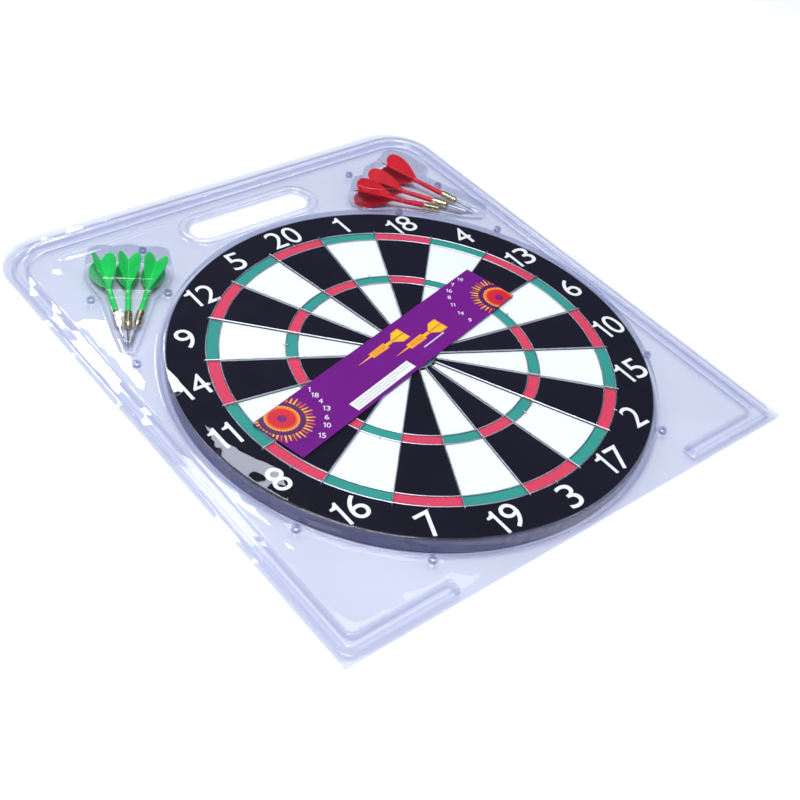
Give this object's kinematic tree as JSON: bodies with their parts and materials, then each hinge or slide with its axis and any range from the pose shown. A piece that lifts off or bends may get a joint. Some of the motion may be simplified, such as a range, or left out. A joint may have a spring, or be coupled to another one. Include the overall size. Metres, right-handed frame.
{
  "type": "boxed dart set",
  "caption": "Round wire-faced dartboard with two sets of small brass darts and a printed card, in a clear folding clamshell pack with a carrying slot.",
  "frame": {"origin": "middle of the pack's footprint, on the plane it lies on", "axes": "+Z out of the board's face, +Y from the fold towards the carrying slot and the board's 20 sector, +X towards the 6 sector"},
  "size_m": [0.438, 0.482, 0.0246],
  "materials": {
    "clear_sheet": "clear thermoformed sheet, glossy",
    "board_body": "wound paper board, raw",
    "edge_band": "satin grey band",
    "back_paper": "plain matte paper",
    "face_black": "matte printed black",
    "print_white": "matte printed white",
    "print_green": "matte printed green",
    "print_red": "matte printed red",
    "wire": "bright steel wire",
    "staple": "bright steel wire",
    "hanger": "stamped steel",
    "card": "gloss printed purple card",
    "dart_steel": "bright steel",
    "dart_brass": "turned brass",
    "green_plastic": "translucent green moulding",
    "red_plastic": "translucent red moulding"
  },
  "bodies": {
    "tray": {"back_panel": "clear_sheet", "back_recess_wall": "clear_sheet", "back_recess_floor": "clear_sheet", "back_well_green": "clear_sheet", "back_well_red": "clear_sheet"},
    "cover": {"front_panel": "clear_sheet", "front_dome_wall": "clear_sheet", "front_dome_top": "clear_sheet", "front_pocket_green": "clear_sheet", "front_pocket_red": "clear_sheet"},
    "board": {"board_core": "board_body", "edge_band": "edge_band", "back_sheet": "back_paper", "face_sheet": "face_black", "white_segments": "print_white", "green_segments": "print_green", "red_segments": "print_red", "double_outer_wire": "wire", "double_inner_wire": "wire", "treble_outer_wire": "wire", "treble_inner_wire": "wire", "outer_bull_wire": "wire", "inner_bull_wire": "wire", "radial_wires": "wire", "wire_staples": "staple", "hanger_plate": "hanger", "hanger_nails": "hanger"},
    "card": {"label_card": "card"},
    "green_dart_1": {"green_1_point": "dart_steel", "green_1_barrel": "dart_brass", "green_1_flight": "green_plastic"},
    "green_dart_2": {"green_2_point": "dart_steel", "green_2_barrel": "dart_brass", "green_2_flight": "green_plastic"},
    "green_dart_3": {"green_3_point": "dart_steel", "green_3_barrel": "dart_brass", "green_3_flight": "green_plastic"},
    "red_dart_1": {"red_1_point": "dart_steel", "red_1_barrel": "dart_brass", "red_1_flight": "red_plastic"},
    "red_dart_2": {"red_2_point": "dart_steel", "red_2_barrel": "dart_brass", "red_2_flight": "red_plastic"},
    "red_dart_3": {"red_3_point": "dart_steel", "red_3_barrel": "dart_brass", "red_3_flight": "red_plastic"}
  },
  "joints": [
    {"name": "cover_hinge", "type": "hinge", "parent": "tray", "child": "cover", "pos_m": [0, -0.241, 0.00465], "axis": [1, 0, 0], "range_deg": [0, 145]},
    {"name": "board_lift", "type": "slide", "parent": "tray", "child": "board", "axis": [0, 0, 1], "range_m": [0, 0.0305]},
    {"name": "card_lift", "type": "slide", "parent": "board", "child": "card", "axis": [0, 0, 1], "range_m": [0, 0.0155]},
    {"name": "green_dart_1_lift", "type": "slide", "parent": "tray", "child": "green_dart_1", "axis": [0, 0, 1], "range_m": [0, 0.062]},
    {"name": "green_dart_2_lift", "type": "slide", "parent": "tray", "child": "green_dart_2", "axis": [0, 0, 1], "range_m": [0, 0.062]},
    {"name": "green_dart_3_lift", "type": "slide", "parent": "tray", "child": "green_dart_3", "axis": [0, 0, 1], "range_m": [0, 0.062]},
    {"name": "red_dart_1_lift", "type": "slide", "parent": "tray", "child": "red_dart_1", "axis": [0, 0, 1], "range_m": [0, 0.062]},
    {"name": "red_dart_2_lift", "type": "slide", "parent": "tray", "child": "red_dart_2", "axis": [0, 0, 1], "range_m": [0, 0.062]},
    {"name": "red_dart_3_lift", "type": "slide", "parent": "tray", "child": "red_dart_3", "axis": [0, 0, 1], "range_m": [0, 0.062]}
  ],
  "couplings": [
    {"joint": "board_lift", "follows": "cover_hinge", "m_per_rad": 0.012},
    {"joint": "card_lift", "follows": "cover_hinge", "m_per_rad": 0.006},
    {"joint": "green_dart_1_lift", "follows": "cover_hinge", "m_per_rad": 0.024},
    {"joint": "green_dart_2_lift", "follows": "cover_hinge", "m_per_rad": 0.024},
    {"joint": "green_dart_3_lift", "follows": "cover_hinge", "m_per_rad": 0.024},
    {"joint": "red_dart_1_lift", "follows": "cover_hinge", "m_per_rad": 0.024},
    {"joint": "red_dart_2_lift", "follows": "cover_hinge", "m_per_rad": 0.024},
    {"joint": "red_dart_3_lift", "follows": "cover_hinge", "m_per_rad": 0.024}
  ]
}
